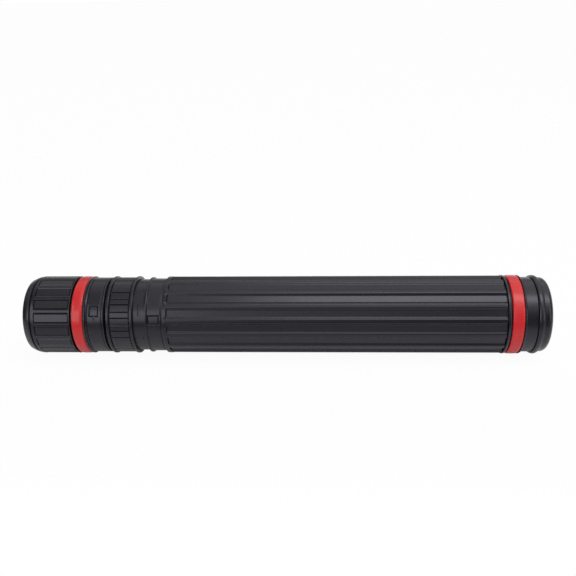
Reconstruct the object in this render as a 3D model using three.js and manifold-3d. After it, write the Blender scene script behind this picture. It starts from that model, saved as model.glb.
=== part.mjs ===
// Telescopic poster tube, closed and lying on its side. Sizes are in millimetres. +X runs along
// the tube from the cap to the base, +Z is up, and the origin is under the tube's middle.
import * as THREE from 'three';
import { mergeVertices } from 'three/addons/utils/BufferGeometryUtils.js';
import Module from 'manifold-3d';

const wasm = await Module();
wasm.setup();

// Driving dimensions: fits, facets and the line along the tube that the marks are placed from
const clearance = 0.3;
const facets = 36;
const edgeBreak = 0.6;
const frontAngle = -25;

// Driving dimensions: lengths along the axis, in order from the cap to the base
const capLength = 58.8;
const capRingGap = 2.1;
const redRingWidth = 14.4;
const headFlangeWidth = 3.0;
const headBandLength = 20.3;
const headGap = 3.2;
const lockRingLength = 31.2;
const sleeveShown = 13.8;
const beadWidth = 3.5;
const collarBandLength = 15.8;
const collarGrooveWidth = 1.8;
const outerTubeLength = 401;
const baseFrontFlangeWidth = 2.4;
const baseRingGap = 1.8;
const baseFlangeWidth = 2.0;
const baseNeckLength = 13.2;
const baseRidgeWidth = 7.0;
const baseTailLength = 10.2;

// Driving dimensions: the telescoping tubes
const innerBoreRadius = 38.1;
const innerWall = 1.5;
const toothHeight = 1.4;
const toothPitch = 10;
const toothLength = 5;
const toothArc = 20;
const outerWall = 1.7;
const ribHeight = 2.1;
const ribCount = 16;
const ribCentreAngle = 9.8;
const ribBaseArc = 10;
const ribCrownArc = 5.5;
const tubeFlangeWidth = 4.8;
const tubeLandWidth = 0.8;
const valleyRamp = 1.2;
const stopRingWidth = 8;
const stopRingWall = 2.3;
const innerEndClearance = 0.5;

// Driving dimensions: the lock
const lockTurn = 30;
const rowAngles = [-25, 155];
const lugArc = 12;
const lugLengthClearance = 0.5;
const lugDepthClearance = 0.5;
const lipMargin = 0.6;
const keyArc = 4;
const keyArcClearance = 1.2;
const collarWall = 1.1;
const collarSpigotLength = 11.2;
const sleeveWall = 2.2;
const sleeveSnapHeight = 0.5;
const sleeveSnapWidth = 1.2;
const beadHeight = 2.5;
const collarBandHeight = 0.85;
const ringWall = 1.8;
const ringFlangeHeight = 1.4;
const ringFlangeWidth = 3.5;
const ringGrooveWidth = 1.4;
const ringGrooveDepth = 0.8;
const padCount = 18;
const padGrooveWidth = 1.3;
const padGrooveDepth = 0.65;
const ringPadArc = 11.2;
const ringPadCentreAngle = -8.4;
const guideBarLength = 8.3;
const guideBarWidth = 2.6;
const guideBarHeight = 1.0;
const guideBarAngles = [-40, 40, 140, 220];
const slitWidth = 1.4;
const slitArc = 16;
const slitCentreAngle = -6;
const slitDepth = 1.1;
const markDepth = 0.6;
const collarMarkMargin = 0.8;
const collarMarkLength = 13.4;
const collarMarkArc = 13.5;
const collarMarkAngle = 9.2;
const headMarkMargin = 4.4;
const headMarkLength = 11;
const headMarkArc = 17;
const headMarkAngle = -4.5;
const headMarkStemLength = 4.5;
const headMarkStemWidth = 1.6;
const lineGrooveWidth = 0.9;
const lineGrooveDepth = 0.5;
const headLineMargin = 2.5;

// Driving dimensions: the cap and the head that it screws on
const capWall = 2.8;
const capEndThickness = 2.4;
const capSeatDepth = 6.0;
const capSeatWidth = 3.4;
const capEdgeLength = 1.6;
const capEdgeDepth = 2.9;
const capTaperLength = 14.1;
const capTaperDepth = 4.0;
const capTaperBulge = 0.2;
const capGrooveMargin = 6.0;
const capPadMargin = 0.4;
const capPadArc = 13.3;
const capPadCentreAngle = 5.75;
const capRimWidth = 1.3;
const linerThickness = 2.0;
const neckWall = 2.7;
const neckLipLength = 3.0;
const threadPitch = 6;
const threadTurns = 2;
const threadMargin = 7;
const threadHeight = 1.3;
const threadWidth = 3;
const threadClearance = 0.5;
const snapBeadWidth = 1.0;
const snapBeadHeight = 0.7;
const ringSeatWall = 4.0;
const redRingProud = 0.3;
const ringCrown = 0.25;
const headFlangeProud = 0.2;
const headBandStep = 1.7;

// Driving dimensions: the base
const baseSpigotWall = 2.8;
const baseSpigotLength = 11;
const baseFlangeStep = 0.1;
const baseNeckStep = 2.6;
const plugSeatLength = 10;
const plugWall = 2.4;
const plugEndThickness = 2.5;
const baseRidgeHeight = 2.4;
const baseTailStep = 0.3;
const baseCornerRadius = 6.5;

// Stations along the axis, counted from the cap's outer face
const capRingStart = capLength + capRingGap;
const headFlangeStart = capRingStart + redRingWidth + clearance;
const headFlangeEnd = headFlangeStart + headFlangeWidth;
const headEnd = headFlangeEnd + headBandLength;
const lockStart = headEnd + headGap;
const lockEnd = lockStart + lockRingLength;
const beadStart = lockEnd + sleeveShown;
const beadEnd = beadStart + beadWidth;
const bandEnd = beadEnd + collarBandLength;
const grooveEnd = bandEnd + collarGrooveWidth;
const tubeStart = grooveEnd + clearance;
const tubeEnd = tubeStart + outerTubeLength;
const baseStart = tubeEnd + clearance;
const baseSeatStart = baseStart + baseFrontFlangeWidth;
const baseRingStart = baseSeatStart + baseRingGap;
const baseFlangeStart = baseRingStart + redRingWidth + clearance;
const baseFlangeEnd = baseFlangeStart + baseFlangeWidth;
const baseNeckEnd = baseFlangeEnd + baseNeckLength;
const plugStart = baseNeckEnd + clearance;
const ridgeEnd = plugStart + baseRidgeWidth;
const totalLength = ridgeEnd + baseTailLength;

// Radii that follow from the fits
const innerRadius = innerBoreRadius + innerWall;
const toothRadius = innerRadius + toothHeight;
const collarBore = toothRadius + clearance;
const spigotRadius = collarBore + collarWall;
const outerBore = spigotRadius + clearance;
const valleyRadius = outerBore + outerWall;
const ribRadius = valleyRadius + ribHeight;
const sleeveRadius = collarBore + sleeveWall;
const beadRadius = sleeveRadius + beadHeight;
const bandRadius = sleeveRadius + collarBandHeight;
const ringBore = sleeveRadius + clearance;
const ringRadius = ringBore + ringWall;
const ringFlangeRadius = ringRadius + ringFlangeHeight;
const headBore = innerRadius + clearance;
const neckRadius = headBore + neckWall;
const capBore = neckRadius + threadHeight + threadClearance;
const capRadius = capBore + capWall;
const capPilotBore = neckRadius + threadClearance;
const lipBore = innerBoreRadius + clearance;
const ringSeatRadius = headBore + ringSeatWall;
const redRingRadius = capRadius + redRingProud;
const headFlangeRadius = capRadius + headFlangeProud;
const headBandRadius = headFlangeRadius - headBandStep;
const baseFlangeRadius = redRingRadius - baseFlangeStep;
const baseNeckRadius = baseFlangeRadius - baseNeckStep;
const baseRidgeRadius = baseNeckRadius + baseRidgeHeight;
const baseTailRadius = baseNeckRadius - baseTailStep;
const stopRadius = headBore + stopRingWall;
const baseBore = spigotRadius - baseSpigotWall;
const plugBore = baseTailRadius - plugWall;

// The lock ring's lugs lie between the first two teeth. The inner tube ends just before the base's
// spigot, and its stroke is a whole number of teeth.
const firstToothMiddle = headEnd + clearance + toothLength / 2;
const lugMiddle = firstToothMiddle + toothPitch / 2;
const lugLength = toothPitch - toothLength - 2 * lugLengthClearance;
const lipEnd = lugMiddle + lugLength / 2 + lipMargin;
const sleeveStart = lipEnd + clearance;
const spigotEnd = grooveEnd + collarSpigotLength;
const baseSpigotStart = tubeEnd - baseSpigotLength;
const innerTubeEnd = baseSpigotStart - innerEndClearance;
const stopRingStart = innerTubeEnd - stopRingWidth;
const lockSteps = Math.floor((stopRingStart - clearance - spigotEnd) / toothPitch);

// A flat of each turned piece lies level underneath, and the largest one carries the tube.
const flatShare = Math.cos(Math.PI / facets);
const axisHeight = Math.max(
  redRingRadius * flatShare, headFlangeRadius * flatShare, baseFlangeRadius * flatShare,
  ringFlangeRadius * flatShare, beadRadius * flatShare, baseRidgeRadius * flatShare,
  headBandRadius * flatShare, capRadius * flatShare, ribRadius,
);

// Closed bodies from three.js geometry

function solid(geometry) {
  const bare = new THREE.BufferGeometry();
  bare.setAttribute('position', geometry.getAttribute('position'));
  bare.setIndex(geometry.getIndex());
  const merged = mergeVertices(bare, 1e-4);
  const position = merged.getAttribute('position');
  const index = merged.getIndex().array;
  const triangles = [];
  let volume = 0;
  const [a, b, c] = [new THREE.Vector3(), new THREE.Vector3(), new THREE.Vector3()];
  for (let i = 0; i < index.length; i += 3) {
    const corners = [index[i], index[i + 1], index[i + 2]];
    if (new Set(corners).size < 3) continue;
    a.fromBufferAttribute(position, corners[0]);
    b.fromBufferAttribute(position, corners[1]);
    c.fromBufferAttribute(position, corners[2]);
    volume += a.dot(b.cross(c));
    triangles.push(corners);
  }
  if (volume < 0) triangles.forEach((corners) => corners.reverse());
  return new wasm.Manifold(new wasm.Mesh({
    numProp: 3,
    vertProperties: new Float32Array(position.array),
    triVerts: new Uint32Array(triangles.flat()),
  }));
}

// A revolved body from an outline of [station, radius] pairs. The outline starts and ends on the
// axis, or it closes on itself.
function turned(outline) {
  const closed = outline[0][1] === 0 ? outline : [...outline, outline[0]];
  const points = closed.map(([x, radius]) => new THREE.Vector2(radius, x));
  const geometry = new THREE.LatheGeometry(points, facets, Math.PI / facets);
  geometry.rotateZ(-Math.PI / 2);
  return solid(geometry);
}

// Angles count downwards from the front line.
function around(radius, degrees) {
  const angle = THREE.MathUtils.degToRad(degrees + frontAngle);
  return new THREE.Vector2(-radius * Math.cos(angle), -radius * Math.sin(angle));
}

// The prism of an outline in the Y-Z plane between two stations
function prism(points, start, end) {
  const shape = new THREE.Shape(points);
  const geometry = new THREE.ExtrudeGeometry(shape, { depth: end - start, bevelEnabled: false });
  const alongX = new THREE.Matrix4().makeBasis(
    new THREE.Vector3(0, 1, 0), new THREE.Vector3(0, 0, 1), new THREE.Vector3(1, 0, 0));
  geometry.applyMatrix4(alongX.setPosition(start, 0, 0));
  return solid(geometry);
}

// Part of a ring, centred on an angle
function sector(start, end, inside, outside, centreAngle, arc, steps = 2) {
  const points = [];
  for (let i = 0; i <= steps; i += 1) {
    points.push(around(outside, centreAngle - arc / 2 + (arc * i) / steps));
  }
  for (let i = steps; i >= 0; i -= 1) {
    points.push(around(inside, centreAngle - arc / 2 + (arc * i) / steps));
  }
  return prism(points, start, end);
}

// A round section with raised lobes. Between the lobes its floor is flat.
function lobedPoints(count, centreAngle, floorRadius, crownRadius, baseArc, crownArc) {
  const points = [];
  for (let i = 0; i < count; i += 1) {
    const centre = centreAngle + (360 * i) / count;
    points.push(around(floorRadius, centre - baseArc / 2));
    points.push(around(crownRadius, centre - crownArc / 2));
    points.push(around(crownRadius, centre));
    points.push(around(crownRadius, centre + crownArc / 2));
    points.push(around(floorRadius, centre + baseArc / 2));
  }
  return points;
}

// Points of a quarter round from one direction to another, in degrees
function quarter(centreX, centreRadius, sizeX, sizeRadius, from, to, steps = 5) {
  const points = [];
  for (let i = 0; i <= steps; i += 1) {
    const angle = THREE.MathUtils.degToRad(from + ((to - from) * i) / steps);
    points.push([centreX + sizeX * Math.cos(angle), centreRadius + sizeRadius * Math.sin(angle)]);
  }
  return points;
}

// V-grooves outline every grip pad. Their cutters reach an edge break above the surface, and are
// that much wider there.
const cutterHalfWidth = (padGrooveWidth / 2) * (1 + edgeBreak / padGrooveDepth);

// The grooves along both sides of every pad
function sideGrooves(start, end, radius, centreAngle, arc) {
  const top = radius + edgeBreak;
  const halfArc = THREE.MathUtils.radToDeg(cutterHalfWidth / radius);
  const grooves = [];
  for (let i = 0; i < padCount; i += 1) {
    for (const side of [-1, 1]) {
      const middle = centreAngle + (360 * i) / padCount + (side * arc) / 2;
      grooves.push(prism([
        around(radius - padGrooveDepth, middle),
        around(top, middle - halfArc),
        around(top, middle + halfArc),
      ], start, end));
    }
  }
  return wasm.Manifold.union(grooves);
}

// The grooves across one end of every pad
function endGrooves(station, radius, centreAngle, arc) {
  const top = radius + edgeBreak;
  const floor = radius - padGrooveDepth;
  const ring = turned([
    [station - cutterHalfWidth, top], [station, floor], [station + cutterHalfWidth, top],
  ]);
  const sectors = [];
  for (let i = 0; i < padCount; i += 1) {
    const middle = centreAngle + (360 * i) / padCount;
    sectors.push(sector(
      station - 2 * cutterHalfWidth, station + 2 * cutterHalfWidth,
      floor - edgeBreak, top + edgeBreak, middle, arc));
  }
  return ring.intersect(wasm.Manifold.union(sectors));
}

// One coarse thread ridge that winds round the axis and fades in and out at its ends
function threadRidge(start, rootRadius, crestRadius) {
  const stepsPerTurn = 24;
  const steps = stepsPerTurn * threadTurns;
  const fadeSteps = 3;
  const lowest = 0.3;
  const positions = [];
  const indices = [];
  for (let i = 0; i <= steps; i += 1) {
    const angle = (2 * Math.PI * i) / stepsPerTurn;
    const fade = Math.max(lowest, Math.min(1, i / fadeSteps, (steps - i) / fadeSteps));
    const crest = rootRadius + (crestRadius - rootRadius) * fade;
    const middle = start + (threadPitch * i) / stepsPerTurn;
    const section = [
      [-threadWidth / 2, rootRadius], [-threadWidth / 6, crest],
      [threadWidth / 6, crest], [threadWidth / 2, rootRadius],
    ];
    for (const [dx, radius] of section) {
      positions.push(middle + dx, radius * Math.cos(angle), radius * Math.sin(angle));
    }
  }
  const sides = 4;
  for (let i = 0; i < steps; i += 1) {
    for (let j = 0; j < sides; j += 1) {
      const a = i * sides + j;
      const b = i * sides + ((j + 1) % sides);
      indices.push(a, b, b + sides, a, b + sides, a + sides);
    }
  }
  const last = steps * sides;
  indices.push(0, 2, 1, 0, 3, 2, last, last + 1, last + 2, last, last + 2, last + 3);
  const geometry = new THREE.BufferGeometry();
  geometry.setAttribute('position', new THREE.Float32BufferAttribute(positions, 3));
  geometry.setIndex(indices);
  return solid(geometry);
}

// The cap: a cup with a rounded edge, a taper with a line groove, and a ring of outlined grip pads
function capShell() {
  const seatRadius = capPilotBore - capSeatWidth;
  const edgeRadius = capRadius - capTaperDepth;
  const faceRadius = edgeRadius - capEdgeDepth;
  const taperEnd = capEdgeLength + capTaperLength;
  const grooveX = taperEnd - capGrooveMargin;
  const padEnd = capLength - capRimWidth;
  // The taper bulges most at its middle.
  const onTaper = (x) => {
    const share = (x - capEdgeLength) / capTaperLength;
    return edgeRadius + capTaperDepth * share + 4 * capTaperBulge * share * (1 - share);
  };
  const taperPoint = (x) => [x, onTaper(x)];
  const body = turned([
    [0, 0],
    [0, faceRadius],
    [capEdgeLength / 6, faceRadius + capEdgeDepth / 2],
    [capEdgeLength, edgeRadius],
    taperPoint(grooveX - lineGrooveWidth / 2),
    [grooveX, onTaper(grooveX) - lineGrooveDepth],
    taperPoint(grooveX + lineGrooveWidth / 2),
    [taperEnd, capRadius],
    [padEnd - padGrooveWidth / 2, capRadius],
    [padEnd, capRadius - padGrooveDepth],
    [padEnd + padGrooveWidth / 2, capRadius],
    [capLength, capRadius],
    [capLength, capBore],
    [taperEnd, capBore],
    [taperEnd - (capBore - capPilotBore), capPilotBore],
    [capSeatDepth, capPilotBore],
    [capSeatDepth, seatRadius],
    [capEndThickness, seatRadius - (capSeatDepth - capEndThickness)],
    [capEndThickness, 0],
  ]);
  const padStart = taperEnd + capPadMargin;
  return body
    .subtract(sideGrooves(padStart, padEnd, capRadius, capPadCentreAngle, capPadArc))
    .subtract(endGrooves(padStart, capRadius, capPadCentreAngle, capPadArc));
}

// The soft disc in the cap that closes on the neck's rim
const linerStart = capSeatDepth + clearance;
const linerEnd = linerStart + linerThickness;

function capLiner() {
  const radius = capPilotBore - clearance;
  return turned([[linerStart, 0], [linerStart, radius], [linerEnd, radius], [linerEnd, 0]]);
}

// The head on the inner tube: threaded neck, seat for the red ring, flange and marked band
const neckStart = linerEnd + clearance;
const innerTubeStart = neckStart + neckLipLength + clearance;

function innerHead() {
  const lineX = headEnd - headLineMargin;
  const snapEnd = capRingStart - clearance;
  const body = turned([
    [neckStart, lipBore],
    [neckStart, neckRadius - edgeBreak],
    [neckStart + edgeBreak, neckRadius],
    [snapEnd - snapBeadWidth - edgeBreak, neckRadius],
    [snapEnd - snapBeadWidth, ringSeatRadius + snapBeadHeight],
    [snapEnd, ringSeatRadius + snapBeadHeight],
    [snapEnd, ringSeatRadius],
    [headFlangeStart, ringSeatRadius],
    [headFlangeStart, headFlangeRadius - edgeBreak / 2],
    [headFlangeStart + edgeBreak / 2, headFlangeRadius],
    [headFlangeEnd - edgeBreak, headFlangeRadius],
    [headFlangeEnd, headBandRadius],
    [lineX - lineGrooveWidth / 2, headBandRadius],
    [lineX, headBandRadius - lineGrooveDepth],
    [lineX + lineGrooveWidth / 2, headBandRadius],
    [headEnd - edgeBreak, headBandRadius],
    [headEnd, headBandRadius - edgeBreak],
    [headEnd, headBore],
    [neckStart + neckLipLength, headBore],
    [neckStart + neckLipLength, lipBore],
  ]);
  const thread = threadRidge(
    neckStart + threadMargin, neckRadius - edgeBreak, neckRadius + threadHeight);
  const markStart = headFlangeEnd + headMarkMargin;
  const markInside = headBandRadius - markDepth;
  const markOutside = headBandRadius + markDepth;
  const mark = sector(
    markStart, markStart + headMarkLength, markInside, markOutside, headMarkAngle, headMarkArc);
  const stemArc = THREE.MathUtils.radToDeg(headMarkStemLength / headBandRadius);
  const stemMiddle = markStart + headMarkLength / 2;
  const stem = sector(
    stemMiddle - headMarkStemWidth / 2, stemMiddle + headMarkStemWidth / 2,
    markInside, markOutside, headMarkAngle + headMarkArc / 2, 2 * stemArc);
  return body.add(thread).subtract(mark).subtract(stem);
}

// A red ring with a slightly crowned face. It stretches onto its seat.
function redRing(start) {
  const end = start + redRingWidth;
  const bore = ringSeatRadius + clearance;
  const crownMargin = redRingWidth / 4;
  return turned([
    [start, bore],
    [start, redRingRadius - ringCrown],
    [start + crownMargin, redRingRadius],
    [end - crownMargin, redRingRadius],
    [end, redRingRadius - ringCrown],
    [end, bore],
  ]);
}

// The inner tube: a smooth bore and two long rows of lock teeth
function innerTube() {
  let body = turned([
    [innerTubeStart, innerBoreRadius], [innerTubeStart, innerRadius],
    [innerTubeEnd, innerRadius], [innerTubeEnd, innerBoreRadius],
  ]);
  const root = innerRadius - innerWall / 2;
  for (const rowAngle of rowAngles) {
    for (let i = 0; i <= lockSteps + 1; i += 1) {
      const start = firstToothMiddle + i * toothPitch - toothLength / 2;
      body = body.add(sector(start, start + toothLength, root, toothRadius, rowAngle, toothArc));
    }
  }
  return body;
}

// The stop ring that runs in the outer tube's bore and ends the stroke at the collar
function stopRing() {
  return turned([
    [stopRingStart, headBore],
    [stopRingStart, stopRadius],
    [innerTubeEnd - edgeBreak, stopRadius],
    [innerTubeEnd, stopRadius - edgeBreak],
    [innerTubeEnd, headBore],
  ]);
}

// The grip ring that turns on the collar's sleeve. Its lugs reach between the teeth when locked,
// and a groove in its bore snaps over the bead on the sleeve.
const snapMiddle = lockEnd - ringFlangeWidth / 2;

function lockRing() {
  const grooveRadius = ringBore + sleeveSnapHeight;
  const grooveHalf = sleeveSnapWidth / 2 + clearance;
  const padStart = lockStart + ringFlangeWidth;
  const padEnd = lockEnd - ringFlangeWidth;
  const body = turned([
    [lockStart, collarBore],
    [lockStart, ringFlangeRadius - edgeBreak],
    [lockStart + edgeBreak, ringFlangeRadius],
    [padStart - edgeBreak, ringFlangeRadius],
    [padStart + ringGrooveWidth / 2, ringRadius - ringGrooveDepth],
    [padStart + ringGrooveWidth, ringRadius],
    [padEnd - ringGrooveWidth, ringRadius],
    [padEnd - ringGrooveWidth / 2, ringRadius - ringGrooveDepth],
    [padEnd + edgeBreak, ringFlangeRadius],
    [lockEnd - edgeBreak, ringFlangeRadius],
    [lockEnd, ringFlangeRadius - edgeBreak],
    [lockEnd, ringBore],
    [snapMiddle + grooveHalf, ringBore],
    [snapMiddle + grooveHalf, grooveRadius],
    [snapMiddle - grooveHalf, grooveRadius],
    [snapMiddle - grooveHalf, ringBore],
    [lipEnd, ringBore],
    [lipEnd, collarBore],
  ]);
  const sides = sideGrooves(
    padStart + ringGrooveWidth / 2, padEnd - ringGrooveWidth / 2, ringRadius,
    ringPadCentreAngle, ringPadArc);
  let ring = body.subtract(sides);
  for (const rowAngle of rowAngles) {
    ring = ring.add(sector(
      lugMiddle - lugLength / 2, lugMiddle + lugLength / 2,
      innerRadius + lugDepthClearance, collarBore + edgeBreak, rowAngle + lockTurn, lugArc));
  }
  return ring;
}

// The collar in the outer tube's mouth: sleeve for the lock ring, bead, marked band and spigot.
// Keys in its bore run beside the rows of teeth, so that the inner tube slides but can't turn.
function lockCollar() {
  let body = turned([
    [sleeveStart, collarBore],
    [sleeveStart, sleeveRadius],
    [snapMiddle - sleeveSnapWidth / 2, sleeveRadius],
    [snapMiddle, sleeveRadius + sleeveSnapHeight],
    [snapMiddle + sleeveSnapWidth / 2, sleeveRadius],
    [beadStart, sleeveRadius],
    [beadStart + edgeBreak, beadRadius],
    [beadEnd - edgeBreak, beadRadius],
    [beadEnd, bandRadius],
    [bandEnd - edgeBreak / 2, bandRadius],
    [bandEnd, sleeveRadius],
    [grooveEnd, sleeveRadius],
    [grooveEnd, spigotRadius],
    [spigotEnd, spigotRadius],
    [spigotEnd, collarBore],
  ]);
  const keyOffset = toothArc / 2 + keyArcClearance + keyArc / 2;
  for (const rowAngle of rowAngles) {
    for (const side of [-1, 1]) {
      body = body.add(sector(
        sleeveStart, spigotEnd, innerRadius + clearance, collarBore + clearance,
        rowAngle + side * keyOffset, keyArc, 1));
    }
  }
  const barMiddle = lockEnd + sleeveShown / 2;
  const barArc = THREE.MathUtils.radToDeg(guideBarWidth / sleeveRadius);
  for (const angle of guideBarAngles) {
    body = body.add(sector(
      barMiddle - guideBarLength / 2, barMiddle + guideBarLength / 2,
      sleeveRadius - guideBarHeight, sleeveRadius + guideBarHeight, angle, barArc, 1));
  }
  const slit = sector(
    barMiddle - slitWidth / 2, barMiddle + slitWidth / 2,
    sleeveRadius - slitDepth, sleeveRadius + slitDepth, slitCentreAngle, slitArc);
  const markStart = beadEnd + collarMarkMargin;
  const mark = sector(
    markStart, markStart + collarMarkLength, bandRadius - markDepth, bandRadius + markDepth,
    collarMarkAngle, collarMarkArc);
  return body.subtract(slit).subtract(mark);
}

// The outer tube: a smooth bore, long ribs, a flange round its mouth and a land at its far end
function outerTube() {
  const valleyStart = tubeStart + tubeFlangeWidth;
  const valleyEnd = tubeEnd - tubeLandWidth;
  const floor = valleyRadius - edgeBreak;
  const core = turned([
    [tubeStart, outerBore],
    [tubeStart, ribRadius - edgeBreak],
    [tubeStart + edgeBreak, ribRadius],
    [valleyStart, ribRadius],
    [valleyStart + valleyRamp, floor],
    [valleyEnd - valleyRamp, floor],
    [valleyEnd, ribRadius],
    [tubeEnd, ribRadius],
    [tubeEnd, outerBore],
  ]);
  const ribs = prism(
    lobedPoints(ribCount, ribCentreAngle, valleyRadius, ribRadius, ribBaseArc, ribCrownArc),
    valleyStart - edgeBreak, valleyEnd + tubeLandWidth / 2);
  const bore = turned([
    [tubeStart - clearance, 0], [tubeStart - clearance, outerBore],
    [tubeEnd + clearance, outerBore], [tubeEnd + clearance, 0],
  ]);
  return core.add(ribs).subtract(bore);
}

// The base collar: a spigot in the tube's end, the red ring's seat between two flanges, a neck,
// and a narrower spigot for the plug
function baseCollar() {
  const plugSpigotRadius = plugBore - clearance;
  const end = baseNeckEnd + plugSeatLength;
  return turned([
    [baseSpigotStart, baseBore],
    [baseSpigotStart, spigotRadius],
    [baseStart, spigotRadius],
    [baseStart, baseFlangeRadius - edgeBreak / 2],
    [baseStart + edgeBreak / 2, baseFlangeRadius],
    [baseSeatStart - edgeBreak / 2, baseFlangeRadius],
    [baseSeatStart, baseFlangeRadius - edgeBreak / 2],
    [baseSeatStart, ringSeatRadius],
    [baseFlangeStart, ringSeatRadius],
    [baseFlangeStart, baseFlangeRadius],
    [baseFlangeEnd - edgeBreak, baseFlangeRadius],
    [baseFlangeEnd, baseNeckRadius],
    [baseNeckEnd - edgeBreak, baseNeckRadius],
    [baseNeckEnd, baseNeckRadius - edgeBreak],
    [baseNeckEnd, plugSpigotRadius],
    [end, plugSpigotRadius],
    [end, baseBore],
  ]);
}

// The base plug: a cup with a ridge round its rim and a rounded end
function basePlug() {
  const floorX = totalLength - plugEndThickness;
  return turned([
    [floorX, 0],
    [floorX, plugBore - plugWall],
    [floorX - plugWall, plugBore],
    [plugStart, plugBore],
    [plugStart, baseRidgeRadius - edgeBreak],
    [plugStart + edgeBreak, baseRidgeRadius],
    [ridgeEnd - edgeBreak, baseRidgeRadius],
    [ridgeEnd, baseTailRadius],
    ...quarter(
      totalLength - baseCornerRadius, baseTailRadius - baseCornerRadius,
      baseCornerRadius, baseCornerRadius, 90, 0),
    [totalLength, 0],
  ]);
}

// Finishes

function plastic(color, roughness) {
  return new THREE.MeshStandardMaterial({ color, roughness, metalness: 0 });
}
const blackPlastic = plastic(0x2b2b30, 0.38);
const tubePlastic = plastic(0x29292e, 0.42);
const redPlastic = plastic(0xc1272b, 0.3);
const softGrey = plastic(0x3c3c3e, 0.9);

function piece(name, body, material) {
  const mesh = body.getMesh();
  const geometry = new THREE.BufferGeometry();
  geometry.setAttribute('position', new THREE.Float32BufferAttribute(mesh.vertProperties, 3));
  geometry.setIndex(new THREE.Uint32BufferAttribute(mesh.triVerts, 1));
  const result = new THREE.Mesh(geometry, material);
  result.name = name;
  return result;
}

const posterTube = new THREE.Group();
posterTube.position.set(-totalLength / 2, 0, axisHeight);
posterTube.add(
  piece('cap_shell', capShell(), blackPlastic),
  piece('cap_liner', capLiner(), softGrey),
  piece('cap_side_ring', redRing(capRingStart), redPlastic),
  piece('inner_head', innerHead(), blackPlastic),
  piece('inner_tube', innerTube(), tubePlastic),
  piece('stop_ring', stopRing(), blackPlastic),
  piece('lock_ring', lockRing(), blackPlastic),
  piece('lock_collar', lockCollar(), blackPlastic),
  piece('outer_tube', outerTube(), tubePlastic),
  piece('base_collar', baseCollar(), blackPlastic),
  piece('base_side_ring', redRing(baseRingStart), redPlastic),
  piece('base_plug', basePlug(), blackPlastic),
);
posterTube.updateMatrixWorld(true);

export default posterTube;
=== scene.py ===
"""The looks of the telescopic poster tube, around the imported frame. Sizes are in millimetres."""
import math

import bpy
from mathutils import Matrix, Vector

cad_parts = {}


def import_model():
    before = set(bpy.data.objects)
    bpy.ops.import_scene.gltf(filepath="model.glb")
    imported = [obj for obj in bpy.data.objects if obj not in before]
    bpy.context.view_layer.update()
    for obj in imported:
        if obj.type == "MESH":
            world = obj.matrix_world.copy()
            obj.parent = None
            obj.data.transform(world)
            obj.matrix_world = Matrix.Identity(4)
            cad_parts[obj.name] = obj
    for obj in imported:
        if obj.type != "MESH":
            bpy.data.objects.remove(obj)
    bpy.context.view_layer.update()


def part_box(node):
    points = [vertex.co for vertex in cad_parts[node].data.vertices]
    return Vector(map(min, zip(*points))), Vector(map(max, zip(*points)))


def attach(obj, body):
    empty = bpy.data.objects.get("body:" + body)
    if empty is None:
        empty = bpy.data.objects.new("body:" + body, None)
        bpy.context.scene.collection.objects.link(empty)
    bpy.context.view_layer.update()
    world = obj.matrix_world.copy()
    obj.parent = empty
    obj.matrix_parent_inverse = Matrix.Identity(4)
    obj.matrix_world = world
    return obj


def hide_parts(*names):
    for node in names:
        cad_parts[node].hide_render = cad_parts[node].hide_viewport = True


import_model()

MM = 0.001


# Stations of the frame, in millimetres along the tube, and the height of its axis
def span(node):
    low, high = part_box(node)
    return low.x / MM, high.x / MM


CAP_START, CAP_END = span("cap_shell")
RED_A_START, RED_A_END = span("cap_side_ring")
HEAD_START, HEAD_END = span("inner_head")
LOCK_START, LOCK_END = span("lock_ring")
COLLAR_START, COLLAR_END = span("lock_collar")
TUBE_START, TUBE_END = span("outer_tube")
INNER_START, INNER_END = span("inner_tube")
STOP_START, STOP_END = span("stop_ring")
BASE_START, BASE_END = span("base_collar")
RED_B_START, RED_B_END = span("base_side_ring")
PLUG_START, PLUG_END = span("base_plug")
LINER_START, LINER_END = span("cap_liner")
RING_LOW, RING_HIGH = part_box("cap_side_ring")
AXIS_Z = (RING_LOW.z + RING_HIGH.z) / 2 / MM

# Radii, as on the frame's pieces
INNER_BORE = 38.1
INNER_RADIUS = 39.6
TOOTH_RADIUS = 41.0
COLLAR_BORE = 41.3
SPIGOT_RADIUS = 42.4
OUTER_BORE = 42.7
VALLEY_RADIUS = 44.6
RIB_RADIUS = 46.8
SLEEVE_RADIUS = 43.5
BEAD_RADIUS = 46.0
BAND_RADIUS = 44.35
RING_BORE = 43.8
RING_PAD = 45.9
RING_FLANGE = 47.2
CAP_RADIUS = 47.3
CAP_BORE = 44.4
CAP_PILOT = 43.1
RED_RADIUS = 47.3
HEAD_FLANGE = 47.25
HEAD_BAND = 45.7
HEAD_BORE = 39.9
NECK_RADIUS = 42.6
SEAT_RADIUS = 43.9
BASE_BORE = 39.6
BASE_FLANGE = 47.25
BASE_NECK = 44.8
RIDGE_RADIUS = 47.15
TAIL_RADIUS = 44.5
PLUG_BORE = 42.1

# Angles are in degrees, counted downwards from the front line, which lies above -Y.
FRONT = -25.0
FINE = 720
PLAIN = 360


def smooth(t):
    t = min(1.0, max(0.0, t))
    return t * t * (3 - 2 * t)


def ramp(value, low, high):
    """0 below low, 1 above high, smooth between."""
    return smooth((value - low) / (high - low))


def window(value, low, high, edge):
    """1 between low and high, falling to 0 over edge outside them."""
    return ramp(value, low - edge, low) * (1 - ramp(value, high, high + edge))


def offset(angle, centre, pitch=360.0):
    """How far an angle lies from the nearest of a row of centres."""
    return (angle - centre + pitch / 2) % pitch - pitch / 2


# Outlines


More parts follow.
